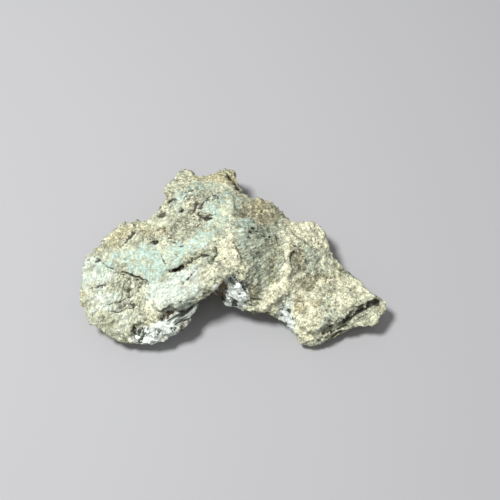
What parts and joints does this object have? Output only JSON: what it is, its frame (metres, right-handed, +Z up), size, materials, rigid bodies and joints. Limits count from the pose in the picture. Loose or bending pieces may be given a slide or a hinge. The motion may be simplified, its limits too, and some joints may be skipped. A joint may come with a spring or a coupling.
{
  "type": "raw pyrite",
  "caption": "Rough lump of raw pyrite ore with two lobes, a notch between them, stepped ledges, pits and a thin overhanging tongue.",
  "frame": {"origin": "middle of the outline, in the plane of the surface the stone lies on", "axes": "+X from the broad left lobe to the slab at the right end, +Y from the notch to the knobs at the back, +Z up"},
  "size_m": [0.0764, 0.0486, 0.0209],
  "materials": {
    "pyrite": "rough, with a dull metallic glitter on fresh grains"
  },
  "bodies": {
    "root": {"pyrite_stone": "pyrite"}
  },
  "joints": []
}
